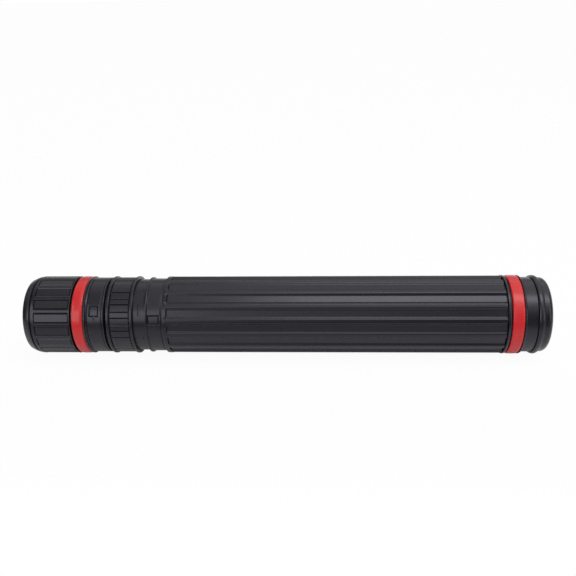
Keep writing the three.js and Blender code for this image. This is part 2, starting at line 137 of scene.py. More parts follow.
def rounded(corners, steps=4):
    """An outline of (x, radius, round) corners, each rounded over that length."""
    points = []
    count = len(corners)
    for i, (x, r, size) in enumerate(corners):
        here = Vector((x, r))
        before = Vector(corners[i - 1][:2]) - here
        after = Vector(corners[(i + 1) % count][:2]) - here
        if size <= 0 or before.length < 1e-6 or after.length < 1e-6:
            points.append((x, r))
            continue
        a = here + before.normalized() * min(size, before.length * 0.45)
        b = here + after.normalized() * min(size, after.length * 0.45)
        for k in range(steps + 1):
            t = k / steps
            p = a * (1 - t) ** 2 + here * (2 * t * (1 - t)) + b * t * t
            points.append((p.x, p.y))
    return points


def with_rows(points, rows):
    """The outline with more points where it runs outside along the tube."""
    result = []
    for i, (x, r) in enumerate(points):
        result.append((x, r))
        nx, nr = points[(i + 1) % len(points)]
        if nx <= x or abs(nr - r) > 1e-6 or r < SEAT_RADIUS - 1:
            continue
        result.extend((row, r) for row in rows if x + 1e-3 < row < nx - 1e-3)
    return result


def even(start, end, step):
    count = max(2, round((end - start) / step))
    return [start + (end - start) * i / count for i in range(count + 1)]


def groove_rows(start, end):
    """Rows across the grooves at both ends of the pads, and between them."""
    steps = [GROOVE_WIDTH * t for t in (-0.5, -0.3, -0.1, 0.1, 0.3, 0.5)]
    between = even(start + GROOVE_WIDTH, end - GROOVE_WIDTH, 8)
    return [start + step for step in steps] + between + [end + step for step in steps]


# Meshes


def revolve(name, points, columns=PLAIN, relief=None, above=SEAT_RADIUS - 1):
    """A closed revolved mesh. The outline closes on itself, or has both ends on the axis.
    relief(x, angle) is what is taken off where the radius is above a limit, in millimetres."""
    closed = points[0][1] > 1e-6
    verts, rings = [], []
    angles = [360.0 * j / columns for j in range(columns)]
    for x, r in points:
        if r < 1e-6:
            rings.append([len(verts)])
            verts.append((x * MM, 0.0, AXIS_Z * MM))
            continue
        rings.append(range(len(verts), len(verts) + columns))
        for degrees in angles:
            radius = r
            if relief and r > above:
                radius -= relief(x, degrees)
            turn = math.radians(degrees + FRONT)
            y = -radius * math.cos(turn) * MM
            verts.append((x * MM, y, (AXIS_Z - radius * math.sin(turn)) * MM))
    faces = []
    pairs = len(points) if closed else len(points) - 1
    for i in range(pairs):
        a, b = rings[i], rings[(i + 1) % len(points)]
        for j in range(columns):
            k = (j + 1) % columns
            if len(a) == 1:
                faces.append((a[0], b[k], b[j]))
            elif len(b) == 1:
                faces.append((a[j], a[k], b[0]))
            else:
                faces.append((a[j], a[k], b[k], b[j]))
    mesh = bpy.data.meshes.new(name)
    mesh.from_pydata(verts, [], faces)
    mesh.validate()
    piece = bpy.data.objects.new(name, mesh)
    bpy.context.scene.collection.objects.link(piece)
    mesh.shade_smooth()
    mesh.set_sharp_from_angle(angle=math.radians(SHARP_ANGLE))
    return piece


SHARP_ANGLE = 38


def place(piece, body, node, material):
    piece.data.materials.append(material)
    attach(piece, body)
    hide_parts(node)
    return piece


# Materials


COOL = (0.88, 0.87, 1.0)
NEUTRAL = (1.0, 1.0, 1.0)


def new_material(name):
    material = bpy.data.materials.new(name)
    material.use_nodes = True
    tree = material.node_tree
    shader = tree.nodes["Principled BSDF"]
    return material, tree, shader


def noise(tree, scale, detail=3.0, stretch=(1, 1, 1)):
    """Noise in the object's own space. A stretch above 1 along an axis makes it finer there."""
    coordinates = tree.nodes.new("ShaderNodeTexCoord")
    mapping = tree.nodes.new("ShaderNodeMapping")
    mapping.inputs["Scale"].default_value = stretch
    texture = tree.nodes.new("ShaderNodeTexNoise")
    texture.inputs["Scale"].default_value = scale
    texture.inputs["Detail"].default_value = detail
    tree.links.new(coordinates.outputs["Object"], mapping.inputs["Vector"])
    tree.links.new(mapping.outputs["Vector"], texture.inputs["Vector"])
    return texture.outputs["Fac"]


def mapped(tree, value, low, high, source=(0.3, 0.7)):
    node = tree.nodes.new("ShaderNodeMapRange")
    node.inputs["From Min"].default_value = source[0]
    node.inputs["From Max"].default_value = source[1]
    node.inputs["To Min"].default_value = low
    node.inputs["To Max"].default_value = high
    tree.links.new(value, node.inputs["Value"])
    return node.outputs["Result"]


def mixed(tree, factor, first, second):
    node = tree.nodes.new("ShaderNodeMix")
    node.data_type = "RGBA"
    node.inputs["A"].default_value = (*first, 1)
    node.inputs["B"].default_value = (*second, 1)
    tree.links.new(factor, node.inputs["Factor"])
    return node.outputs["Result"]


def bumped(tree, shader, height, strength, distance):
    node = tree.nodes.new("ShaderNodeBump")
    node.inputs["Strength"].default_value = strength
    node.inputs["Distance"].default_value = distance
    tree.links.new(height, node.inputs["Height"])
    tree.links.new(node.outputs["Normal"], shader.inputs["Normal"])


def moulded_plastic(name, dark, light, roughness, grain, tint=COOL, ior=1.50):
    """Satin moulded plastic: a slow change of tone, patches of polish and a fine skin."""
    material, tree, shader = new_material(name)
    tone = mapped(tree, noise(tree, 18), 0, 1)
    tree.links.new(mixed(tree, tone, dark, light), shader.inputs["Base Color"])
    polish = mapped(tree, noise(tree, 55, 5, (0.35, 1, 1)), roughness[0], roughness[1])
    tree.links.new(polish, shader.inputs["Roughness"])
    bumped(tree, shader, noise(tree, 1400, 2), grain, 0.00003)
    shader.inputs["IOR"].default_value = ior
    shader.inputs["Specular Tint"].default_value = (*tint, 1)
    return material


BLACK = moulded_plastic(
    "black_plastic", (0.0064, 0.0062, 0.0080), (0.0082, 0.0080, 0.0103), (0.22, 0.30), 0.10)
TUBE_BLACK = moulded_plastic(
    "tube_plastic", (0.0056, 0.0054, 0.0072), (0.0074, 0.0072, 0.0094), (0.22, 0.30), 0.12)
INNER_BLACK = moulded_plastic(
    "inner_plastic", (0.0110, 0.0110, 0.0128), (0.0140, 0.0140, 0.0160), (0.30, 0.38), 0.12)
RED = moulded_plastic(
    "red_plastic", (0.51, 0.016, 0.019), (0.555, 0.022, 0.025), (0.20, 0.28), 0.06, NEUTRAL, 1.43)
FOAM = moulded_plastic(
    "liner_foam", (0.035, 0.035, 0.037), (0.055, 0.055, 0.058), (0.75, 0.9), 0.9, NEUTRAL, 1.4)


# The outer tube: ribs with rounded crowns and flat valleys between them

RIB_COUNT = 16
RIB_CENTRE = 10.5
RIB_BASE = 12.6
RIB_CROWN = 5.5
TUBE_FLANGE = 4.8
TUBE_GAP = 0.9
VALLEY_RAMP = 1.2


def rib_valley(x, angle):
    pitch = 360.0 / RIB_COUNT
    away = abs(offset(angle, RIB_CENTRE, pitch))
    depth = RIB_RADIUS - VALLEY_RADIUS
    flank = (RIB_BASE - RIB_CROWN) / 2
    t = (away - RIB_CROWN / 2) / flank
    if t >= 1:
        half_floor = (pitch - RIB_BASE) / 2
        from_middle = pitch / 2 - away
        chord = math.cos(math.radians(half_floor)) / math.cos(math.radians(from_middle))
        taken = RIB_RADIUS - VALLEY_RADIUS * chord
    else:
        crown = 0.06 * min(1.0, away / (RIB_CROWN / 2)) ** 2
        straight = max(0.0, t)
        taken = crown * (1 - straight) + depth * (0.55 * straight + 0.45 * smooth(straight))
    start = TUBE_START + TUBE_FLANGE
    return taken * ramp(x, start, start + VALLEY_RAMP)


def outer_tube():
    start = TUBE_START + TUBE_FLANGE
    end = TUBE_END - TUBE_GAP
    rows = even(start, start + VALLEY_RAMP, VALLEY_RAMP / 5) + even(start + 2, end - 2, 40)
    outline = rounded([
        (TUBE_START, OUTER_BORE, 0.2), (TUBE_START, RIB_RADIUS, 0.7),
        (end, RIB_RADIUS, 0.3), (end, OUTER_BORE, 0.2),
    ])
    piece = revolve("ribbed_tube", with_rows(outline, sorted(rows)), FINE, rib_valley)
    place(piece, "outer", "outer_tube", TUBE_BLACK)


outer_tube()


# Grip pads on the cap and the lock ring

PAD_COUNT = 18
GROOVE_RADIUS = 0.80
GROOVE_WIDTH = 1.4
GROOVE_DEPTH = 1.1
CAP_GROOVE_WIDTH = 2.1
CAP_GROOVE_DEPTH = 1.3
CAP_PAD_FLATNESS = 0.3
LOCK_PAD_FLATNESS = 0.1


def groove(distance, width, depth):
    """A groove with straight flanks and a narrow floor."""
    return depth * min(1.0, max(0.0, (width / 2 - abs(distance)) / (width * 0.40)))


def pad_relief(x, angle, start, end, centre, arc, flatness, width, depth):
    """Pads are a little flatter than the round, and a groove runs round each of them."""
    away = abs(offset(angle, centre, 360.0 / PAD_COUNT))
    side = groove((away - arc / 2) * GROOVE_RADIUS, width, depth)
    within = window(x, start, end, 0.01)
    flat = flatness * (1 - min(1.0, away / (arc / 2)) ** 2) * within
    cross = 1.0 if away < arc / 2 else 0.0
    left = groove(x - start, GROOVE_WIDTH, GROOVE_DEPTH)
    right = groove(x - end, GROOVE_WIDTH, GROOVE_DEPTH)
    return max(side * within, (left + right) * cross, flat)


# The cap: rounded end, line groove, shoulder, grip pads and rim

CAP_EDGE = 2.7
CAP_EDGE_DEPTH = 6.2
CAP_TAPER = 13.0
CAP_TAPER_DEPTH = 3.6
CAP_BULGE = 0.9
CAP_LINE_MARGIN = 4.8
CAP_LINE = 2.6
CAP_LINE_DEPTH = 1.9
CAP_PAD_MARGIN = 0.4
CAP_RIM = 1.8
CAP_END_WALL = 2.4
CAP_SEAT = 6.0
CAP_PAD_ARC = 13.3
CAP_PAD_CENTRE = 5.75
CAP_TAPER_END = CAP_START + CAP_EDGE + CAP_TAPER
CAP_PADS_START = CAP_TAPER_END + CAP_PAD_MARGIN
CAP_PADS_END = CAP_END - CAP_RIM


def cap_relief(x, angle):
    if x < CAP_PADS_START - 1 or x > CAP_PADS_END + 1:
        return 0.0
    return pad_relief(
        x, angle, CAP_PADS_START, CAP_PADS_END, CAP_PAD_CENTRE, CAP_PAD_ARC, CAP_PAD_FLATNESS,
        CAP_GROOVE_WIDTH, CAP_GROOVE_DEPTH)


def taper(x):
    """Radius of the cap's taper, which bulges a little."""
    t = (x - CAP_START - CAP_EDGE) / CAP_TAPER
    return CAP_RADIUS - CAP_TAPER_DEPTH * (1 - t) + 4 * CAP_BULGE * t * (1 - t)


def cap():
    edge_radius = CAP_RADIUS - CAP_TAPER_DEPTH
    edge = [
        (CAP_START + CAP_EDGE * (1 - math.cos(t)), edge_radius - CAP_EDGE_DEPTH * (1 - math.sin(t)))
        for t in (math.radians(72 * i / 10) for i in range(11))
    ]
    line = CAP_TAPER_END - CAP_LINE_MARGIN
    left, right = line - CAP_LINE / 2, line + CAP_LINE / 2
    slope = [(x, taper(x)) for x in even(CAP_START + CAP_EDGE + 0.5, left - 0.1, 0.8)]
    slope += [
        (left, taper(left)), (line - 0.12, taper(line) - CAP_LINE_DEPTH),
        (line + 0.12, taper(line) - CAP_LINE_DEPTH), (right, taper(right)),
    ]
    slope += [(x, taper(x)) for x in even(right + 0.1, CAP_TAPER_END - 0.3, 0.8)]
    outside = rounded([
        (CAP_TAPER_END + 0.3, CAP_RADIUS, 0),
        (CAP_END, CAP_RADIUS, 0.3),
        (CAP_END, CAP_BORE, 0.3),
        (CAP_TAPER_END, CAP_BORE, 0.4),
        (CAP_TAPER_END - 1.3, CAP_PILOT, 0.4),
        (CAP_START + CAP_SEAT, CAP_PILOT, 0.5),
        (CAP_START + CAP_SEAT, CAP_PILOT - 3.4, 0.4),
        (CAP_START + CAP_END_WALL, CAP_PILOT - 7.0, 1.0),
        (CAP_START + CAP_END_WALL, 0.0, 0),
    ], 3)
    rows = groove_rows(CAP_PADS_START, CAP_PADS_END)
    points = [(CAP_START, 0.0), (CAP_START, 20.0)] + edge + slope + outside
    points = with_rows(points[:-1], sorted(rows)) + [points[-1]]
    piece = revolve("screw_cap", points, FINE, cap_relief, CAP_BORE + 1)
    place(piece, "cap", "cap_shell", BLACK)


cap()


def cap_liner():
    radius = CAP_PILOT - 0.4
    piece = revolve("cap_seal", [
        (LINER_START, 0.0), (LINER_START, radius - 0.5), (LINER_START + 0.4, radius),
        (LINER_END - 0.4, radius), (LINER_END, radius - 0.5), (LINER_END, 0.0),
    ])
    place(piece, "liner", "cap_liner", FOAM)


cap_liner()


# The red rings, slightly crowned

RED_CROWN = 0.3
RED_LIP = 0.3
RED_EDGE = 1.4
RED_END_EDGE = 1.9
RED_EDGE_DEPTH = 2.0
RED_A_SHORT = 1.2
RED_B_SHORT = 0.8


def red_ring(name, start, end, body, node):
    """A crowned ring with round edges. Its left edge reaches a little over its seat's side."""
    first, last = start + RED_EDGE, end - RED_END_EDGE
    top = RED_RADIUS - RED_CROWN
    low = top - RED_EDGE_DEPTH
    inside = SEAT_RADIUS + 0.3
    arc = [math.pi / 2 * i / 8 for i in range(9)]
    outline = [(start, inside), (start, low - 0.2), (start - RED_LIP, low - 0.2)]
    outline += [
        (first - (RED_LIP + RED_EDGE) * math.cos(a), low + RED_EDGE_DEPTH * math.sin(a)) for a in arc
    ]
    outline += [
        (first + (last - first) * t, RED_RADIUS - RED_CROWN * (2 * t - 1) ** 4)
        for t in (i / 20 for i in range(1, 20))
    ]
    outline += [
        (last + RED_END_EDGE * math.sin(a), low + RED_EDGE_DEPTH * math.cos(a)) for a in arc
    ]
    outline += [(end, inside)]
    piece = revolve(name, outline)
    place(piece, body, node, RED)


red_ring("red_ring_cap_end", RED_A_START, RED_A_END - RED_A_SHORT, "inner", "cap_side_ring")
red_ring("red_ring_base_end", RED_B_START + RED_B_SHORT, RED_B_END, "outer", "base_side_ring")


# Marks are grooves that run round a square field.


def frame_mark(x, angle, left, right, centre, arc):
    """Depth of the groove round a field, which is widest half way across its line."""
    across = abs(x - (left + right) / 2) - (right - left) / 2
    along = (abs(offset(angle, centre)) - arc / 2) * GROOVE_RADIUS
    return groove(max(across, along), MARK_LINE, MARK_DEPTH)


# The head on the inner tube: neck with its thread, ring seat, flange, band, mark and end line

HEAD_LINE = 2.5
MARK_DEPTH = 1.3
MARK_LINE = 1.5
HEAD_MARK_GAP = 7.4
HEAD_MARK_LEFT = RED_A_END + HEAD_MARK_GAP
HEAD_MARK_LENGTH = 9.8
HEAD_MARK_ARC = 15.4
HEAD_MARK_ANGLE = -4.5
STEM_WIDTH = 1.6
STEM_ARC = 5.6
THREAD_START = 7.0
THREAD_PITCH = 6.0
THREAD_TURNS = 2
THREAD_HEIGHT = 1.3
THREAD_WIDTH = 3.0


def head_relief(x, angle):
    taken = 0.0
    right = HEAD_MARK_LEFT + HEAD_MARK_LENGTH
    if HEAD_MARK_LEFT - 1 < x < right + 1:
        taken = frame_mark(x, angle, HEAD_MARK_LEFT, right, HEAD_MARK_ANGLE, HEAD_MARK_ARC)
        middle = (HEAD_MARK_LEFT + right) / 2
        low = HEAD_MARK_ANGLE + HEAD_MARK_ARC / 2
        stem = window(x, middle - STEM_WIDTH / 2, middle + STEM_WIDTH / 2, 0.2)
        stem *= window(offset(angle, 0), low, low + STEM_ARC, 0.3)
        taken = max(taken, MARK_DEPTH * stem)
    return taken


def head():
    flange = RED_A_END - RED_A_SHORT + 0.2
    line = HEAD_END - HEAD_LINE
    neck_end = RED_A_START - 0.3
    outline = rounded([
        (HEAD_START, INNER_BORE + 0.3, 0.3), (HEAD_START, NECK_RADIUS, 0.6),
        (neck_end - 1.6, NECK_RADIUS, 0.3), (neck_end - 1.0, SEAT_RADIUS + 0.7, 0.3),
        (neck_end, SEAT_RADIUS + 0.7, 0.2), (neck_end, SEAT_RADIUS, 0.2),
        (flange, SEAT_RADIUS, 0.2), (flange, HEAD_FLANGE - 0.7, 0.2),
        (flange + 1.8, HEAD_FLANGE, 0.4), (flange + 2.3, HEAD_FLANGE, 0.3),
        (flange + 2.5, HEAD_BAND - 0.1, 0.2), (flange + 4.1, HEAD_BAND - 0.9, 0.3),
        (flange + 5.9, HEAD_BAND, 0.7),
        (line - 0.45, HEAD_BAND, 0.15), (line - 0.1, HEAD_BAND - 0.55, 0.1),
        (line + 0.1, HEAD_BAND - 0.55, 0.1), (line + 0.45, HEAD_BAND, 0.15),
        (HEAD_END, HEAD_BAND, 0.6), (HEAD_END, HEAD_BORE, 0.3),
        (HEAD_START + 3, HEAD_BORE, 0.2), (HEAD_START + 3, INNER_BORE + 0.3, 0.2),
    ], 3)
    right = HEAD_MARK_LEFT + HEAD_MARK_LENGTH
    rows = even(HEAD_MARK_LEFT - 0.6, right + 0.6, 0.25)
    piece = revolve("head_moulding", with_rows(outline, rows), FINE, head_relief)
    place(piece, "inner", "inner_head", BLACK)
    return piece


def thread(parent):
    """The neck's thread, as one ridge that winds round and fades at its ends."""
    steps = 96 * THREAD_TURNS
    section = [(-0.5, -0.3), (-0.42, 0.1), (-0.22, 0.9), (-0.12, 1.0),
               (0.12, 1.0), (0.22, 0.9), (0.42, 0.1), (0.5, -0.3)]
    verts, faces = [], []
    for i in range(steps + 1):
        turn = 2 * math.pi * i / 96
        fade = max(0.15, min(1.0, i / 14, (steps - i) / 14))
        x = HEAD_START + THREAD_START + THREAD_PITCH * i / 96
        for dx, height in section:
            radius = NECK_RADIUS + THREAD_HEIGHT * height * fade
            verts.append((
                (x + dx * THREAD_WIDTH) * MM, radius * math.cos(turn) * MM,
                (AXIS_Z + radius * math.sin(turn)) * MM))
    count = len(section)
    for i in range(steps):
        for j in range(count):
            k = (j + 1) % count
            a, b = i * count, (i + 1) * count
            faces.append((a + j, b + j, b + k, a + k))
    faces.append(tuple(range(count)))
    faces.append(tuple(reversed(range(steps * count, (steps + 1) * count))))
    mesh = bpy.data.meshes.new("neck_thread")
    mesh.from_pydata(verts, [], faces)
    mesh.shade_smooth()
    mesh.set_sharp_from_angle(angle=math.radians(SHARP_ANGLE))
    piece = bpy.data.objects.new("neck_thread", mesh)
    bpy.context.scene.collection.objects.link(piece)
    mesh.materials.append(BLACK)
    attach(piece, "inner")


thread(head())


# The lock ring: two flanges, grip pads, a groove in its bore and a lip

LOCK_FLANGE = 3.5
LOCK_PAD_MARGIN = 0.7
LOCK_PAD_ARC = 11.2
LOCK_PAD_CENTRE = -8.4
LOCK_LIP = 7.2
SNAP_HALF = 0.9
LOCK_PADS_START = LOCK_START + LOCK_FLANGE
LOCK_PADS_END = LOCK_END - LOCK_FLANGE


def lock_relief(x, angle):
    if x < LOCK_PADS_START - 0.1 or x > LOCK_PADS_END + 0.1:
        return 0.0
    start, end = LOCK_PADS_START + LOCK_PAD_MARGIN, LOCK_PADS_END - LOCK_PAD_MARGIN
    ends = max(groove(x - start, 1.4, 0.8), groove(x - end, 1.4, 0.8))
    pads = pad_relief(
        x, angle, start, end, LOCK_PAD_CENTRE, LOCK_PAD_ARC, LOCK_PAD_FLATNESS,
        GROOVE_WIDTH, GROOVE_DEPTH)
    return max(pads, ends)


def lock_ring():
    snap = LOCK_END - LOCK_FLANGE / 2
    lip = LOCK_START + LOCK_LIP
    outline = rounded([
        (LOCK_START, COLLAR_BORE, 0.2), (LOCK_START, RING_FLANGE, 0.7),
        (LOCK_PADS_START - 0.5, RING_FLANGE, 0.6), (LOCK_PADS_START, RING_PAD, 0.2),
        (LOCK_PADS_END, RING_PAD, 0.2), (LOCK_PADS_END + 0.5, RING_FLANGE, 0.6),
        (LOCK_END, RING_FLANGE, 0.7), (LOCK_END, RING_BORE, 0.2),
        (snap + SNAP_HALF, RING_BORE, 0), (snap + SNAP_HALF, RING_BORE + 0.5, 0),
        (snap - SNAP_HALF, RING_BORE + 0.5, 0), (snap - SNAP_HALF, RING_BORE, 0),
        (lip, RING_BORE, 0.2), (lip, COLLAR_BORE, 0.2),
    ], 4)
    rows = groove_rows(LOCK_PADS_START + LOCK_PAD_MARGIN, LOCK_PADS_END - LOCK_PAD_MARGIN)
    piece = revolve("grip_ring", with_rows(outline, rows), FINE, lock_relief, RING_BORE + 1)
    place(piece, "lock", "lock_ring", BLACK)


lock_ring()


# The collar in the outer tube's mouth

SLEEVE_SHOWN = 13.8
BEAD_WIDTH = 3.5
BAND_LENGTH = 15.8
COLLAR_GROOVE = 1.8
BAR_LENGTH = 8.3
BAR_ARC = 3.4
BAR_HEIGHT = 1.0
BAR_ANGLES = (-40, 40, 140, 220)
SLIT_WIDTH = 1.4
SLIT_ARC = 16.0
SLIT_ANGLE = -6.0
SLIT_DEPTH = 1.1
COLLAR_MARK_LENGTH = 12.6
COLLAR_MARK_ARC = 13.0
COLLAR_MARK_ANGLE = 9.2
SLEEVE_END = LOCK_END + SLEEVE_SHOWN
BEAD_END = SLEEVE_END + BEAD_WIDTH
BAND_END = BEAD_END + BAND_LENGTH
GROOVE_END = BAND_END + COLLAR_GROOVE
BAR_MIDDLE = LOCK_END + SLEEVE_SHOWN / 2
COLLAR_MARK_LEFT = BEAD_END + 1.2


def collar_relief(x, angle):
    if LOCK_END < x < SLEEVE_END:
        bars = max(window(offset(angle, a), -BAR_ARC / 2, BAR_ARC / 2, 0.5) for a in BAR_ANGLES)
        bars *= window(x, BAR_MIDDLE - BAR_LENGTH / 2, BAR_MIDDLE + BAR_LENGTH / 2, 0.3)
        slit = window(offset(angle, SLIT_ANGLE), -SLIT_ARC / 2, SLIT_ARC / 2, 0.5)
        slit *= window(x, BAR_MIDDLE - SLIT_WIDTH / 2, BAR_MIDDLE + SLIT_WIDTH / 2, 0.2)
        return SLIT_DEPTH * slit - BAR_HEIGHT * bars
    right = COLLAR_MARK_LEFT + COLLAR_MARK_LENGTH
    if COLLAR_MARK_LEFT - 1 < x < right + 1:
        return frame_mark(x, angle, COLLAR_MARK_LEFT, right, COLLAR_MARK_ANGLE, COLLAR_MARK_ARC)
    return 0.0


def lock_collar():
    outline = rounded([
        (COLLAR_START, COLLAR_BORE, 0.2), (COLLAR_START, SLEEVE_RADIUS, 0.4),
        (SLEEVE_END, SLEEVE_RADIUS, 0.3), (SLEEVE_END + 0.5, BEAD_RADIUS, 0.9),
        (BEAD_END - 0.5, BEAD_RADIUS, 0.9), (BEAD_END, BAND_RADIUS, 0.3),
        (BAND_END, BAND_RADIUS, 0.3), (BAND_END, SLEEVE_RADIUS, 0.2),
        (GROOVE_END, SLEEVE_RADIUS, 0.2), (GROOVE_END, SPIGOT_RADIUS, 0.2),
        (COLLAR_END, SPIGOT_RADIUS, 0.4), (COLLAR_END, COLLAR_BORE, 0.2),
    ], 3)
    rows = even(BAR_MIDDLE - BAR_LENGTH / 2 - 0.6, BAR_MIDDLE + BAR_LENGTH / 2 + 0.6, 0.25)
    rows += even(COLLAR_MARK_LEFT - 0.4, COLLAR_MARK_LEFT + COLLAR_MARK_LENGTH + 0.6, 0.25)
    piece = revolve("collar_moulding", with_rows(outline, rows), FINE, collar_relief)
    place(piece, "outer", "lock_collar", BLACK)


lock_collar()


# The inner tube with its two rows of lock teeth, and its stop ring

TOOTH_PITCH = 10.0
TOOTH_LENGTH = 5.0
TOOTH_ARC = 20.0
TOOTH_ROWS = (-25, 155)
TOOTH_COUNT = 39
FIRST_TOOTH = HEAD_END + 0.3


def inner_tube():
    piece = revolve("sliding_tube", rounded([
        (INNER_START, INNER_BORE, 0.2), (INNER_START, INNER_RADIUS, 0.2),
        (INNER_END, INNER_RADIUS, 0.2), (INNER_END, INNER_BORE, 0.2),
    ], 2))
    place(piece, "inner", "inner_tube", INNER_BLACK)


def tooth_rows():
    """Every tooth of both rows, as closed blocks with sloped sides on the tube."""
    verts, faces = [], []
    steps = 10
    for row in TOOTH_ROWS:
        for number in range(TOOTH_COUNT):
            left = FIRST_TOOTH + number * TOOTH_PITCH
            right = left + TOOTH_LENGTH
            start = len(verts)
            for i in range(steps + 1):
                t = 2 * i / steps - 1
                edge = 0.35 if abs(t) == 1 else 0.0
                turn = math.radians(row + TOOTH_ARC / 2 * t + FRONT)
                ring = [
                    (left, INNER_RADIUS - 0.2), (left, TOOTH_RADIUS - 0.35 - edge),
                    (left + 0.35, TOOTH_RADIUS - edge), (right - 0.35, TOOTH_RADIUS - edge),
                    (right, TOOTH_RADIUS - 0.35 - edge), (right, INNER_RADIUS - 0.2),
                ]
                for x, r in ring:
                    verts.append((
                        x * MM, -r * math.cos(turn) * MM, (AXIS_Z - r * math.sin(turn)) * MM))
            count = 6
            for i in range(steps):
                for j in range(count):
                    k = (j + 1) % count
                    a, b = start + i * count, start + (i + 1) * count
                    faces.append((a + j, b + j, b + k, a + k))
            faces.append(tuple(start + j for j in range(count)))
            faces.append(tuple(start + steps * count + j for j in reversed(range(count))))
    mesh = bpy.data.meshes.new("lock_teeth")
    mesh.from_pydata(verts, [], faces)
    mesh.shade_smooth()
    mesh.set_sharp_from_angle(angle=math.radians(SHARP_ANGLE))
    piece = bpy.data.objects.new("lock_teeth", mesh)
    bpy.context.scene.collection.objects.link(piece)
    mesh.materials.append(INNER_BLACK)
    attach(piece, "inner")


def stop_ring():
    radius = 42.1
    piece = revolve("end_stop", rounded([
        (STOP_START, HEAD_BORE, 0.2), (STOP_START, radius, 0.6),
        (STOP_END, radius, 0.6), (STOP_END, HEAD_BORE, 0.2),
    ], 3))
    place(piece, "inner", "stop_ring", BLACK)


inner_tube()
tooth_rows()
stop_ring()


# The base: collar with the red ring's seat and a neck, and the plug with its ridge

FRONT_FLANGE = 2.4
BACK_FLANGE = 2.0
PLUG_SEAT = 10.0


def base_collar():
    first = TUBE_END + 0.3
    second = RED_B_END + 0.3
    neck_end = PLUG_START - 0.3
    inner = PLUG_BORE - 0.3
    piece = revolve("base_moulding", rounded([
        (BASE_START, BASE_BORE, 0.2), (BASE_START, SPIGOT_RADIUS, 0.5),
        (first, SPIGOT_RADIUS, 0.1), (first, BASE_FLANGE, 0.5),
        (first + FRONT_FLANGE - 0.6, BASE_FLANGE, 0.4),
        (first + FRONT_FLANGE + 0.5, BASE_FLANGE - 0.5, 0.2),
        (first + FRONT_FLANGE + 0.5, SEAT_RADIUS, 0.2),
        (second, SEAT_RADIUS, 0.2), (second, BASE_FLANGE, 0.3), (second + 0.4, BASE_FLANGE, 0.2),
        (second + BACK_FLANGE - 0.1, BASE_FLANGE - 0.6, 0.2), (second + BACK_FLANGE, BASE_NECK, 0.4),
        (neck_end, BASE_NECK, 0.5), (neck_end, inner, 0.2),
        (neck_end + PLUG_SEAT, inner, 0.4), (neck_end + PLUG_SEAT, BASE_BORE, 0.2),
    ], 4))
    place(piece, "outer", "base_collar", BLACK)


RIDGE_WIDTH = 7.0
TAIL_CORNER = 6.5
PLUG_WALL = 2.4
PLUG_END_WALL = 2.5


def base_plug():
    ridge_end = PLUG_START + RIDGE_WIDTH
    floor = PLUG_END - PLUG_END_WALL
    outside = rounded([
        (PLUG_START, PLUG_BORE, 0.3), (PLUG_START, RIDGE_RADIUS - 0.75, 0.3),
        (PLUG_START + 1.8, RIDGE_RADIUS, 0.7), (ridge_end - 3.2, RIDGE_RADIUS, 0.7),
        (ridge_end - 0.9, RIDGE_RADIUS - 0.9, 0.4), (ridge_end, TAIL_RADIUS, 0.4),
        (PLUG_END - TAIL_CORNER, TAIL_RADIUS, 0),
    ], 5)
    corner = [
        (PLUG_END - TAIL_CORNER * (1 - math.sin(t)), TAIL_RADIUS - TAIL_CORNER * (1 - math.cos(t)))
        for t in (math.pi / 2 * i / 12 for i in range(1, 13))
    ]
    points = [(floor, 0.0), (floor, PLUG_BORE - PLUG_WALL), (floor - PLUG_WALL, PLUG_BORE)]
    points += outside + corner + [(PLUG_END, 20.0), (PLUG_END, 0.0)]
    piece = revolve("end_plug", points)
    place(piece, "outer", "base_plug", BLACK)


base_collar()
base_plug()


# Camera: the photograph's, at 576 by 576 pixels

IMAGE_SIZE = 576
FOCAL_PIXELS = 712.0
SENSOR = 36.0
DISTANCE = 871.0
FOOT_X = 49.15
ELEVATION = 25.0
YAW = 2.975
PITCH = 2.105
ROLL = -0.03


def camera():
    e = math.radians(ELEVATION)
    forward = Vector((0, math.cos(e), -math.sin(e)))
    up = Vector((0, math.sin(e), math.cos(e)))
    right = Vector((1, 0, 0))
    place_at = Vector((FOOT_X, 0, AXIS_Z)) - forward * DISTANCE
    yaw, pitch, roll = (math.radians(a) for a in (YAW, PITCH, ROLL))
    turned_right = right * math.cos(yaw) + forward * math.sin(yaw)
    turned = forward * math.cos(yaw) - right * math.sin(yaw)
    aim = turned * math.cos(pitch) + up * math.sin(pitch)
    top = up * math.cos(pitch) - turned * math.sin(pitch)
    side = turned_right * math.cos(roll) + top * math.sin(roll)
    top = top * math.cos(roll) - turned_right * math.sin(roll)
    data = bpy.data.cameras.new("camera")
    data.sensor_width = SENSOR
    data.lens = FOCAL_PIXELS / IMAGE_SIZE * SENSOR
    data.clip_end = 100
    obj = bpy.data.objects.new("camera", data)
    bpy.context.scene.collection.objects.link(obj)
    basis = Matrix((side, top, -aim)).transposed().to_4x4()
    obj.matrix_world = Matrix.Translation(place_at * MM) @ basis
    bpy.context.scene.camera = obj


camera()


# Floor, world and lamps


